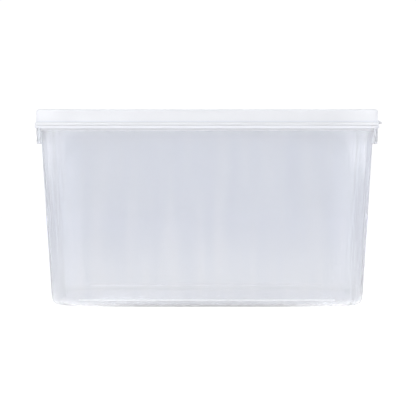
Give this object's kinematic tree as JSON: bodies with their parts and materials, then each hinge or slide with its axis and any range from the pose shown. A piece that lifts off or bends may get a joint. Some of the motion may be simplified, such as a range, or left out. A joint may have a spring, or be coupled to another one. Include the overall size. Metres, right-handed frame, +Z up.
{
  "type": "food storage container",
  "caption": "Tapered rectangular food tub in translucent plastic with rounded corners, hanging end grips and a press-on lid with a lift lip.",
  "frame": {"origin": "centre of the flat foot, on the surface that the tub stands on", "axes": "+X along the long side, towards the end with the lid's lift lip; front long side at -Y; +Z up, towards the lid"},
  "size_m": [0.3053, 0.1844, 0.1718],
  "materials": {
    "tub_plastic": "natural translucent polypropylene, satin, faint cool tint",
    "lid_plastic": "milky translucent polypropylene, softer and whiter than the tub"
  },
  "bodies": {
    "root": {"tub": "tub_plastic", "lid": "lid_plastic"}
  },
  "joints": []
}
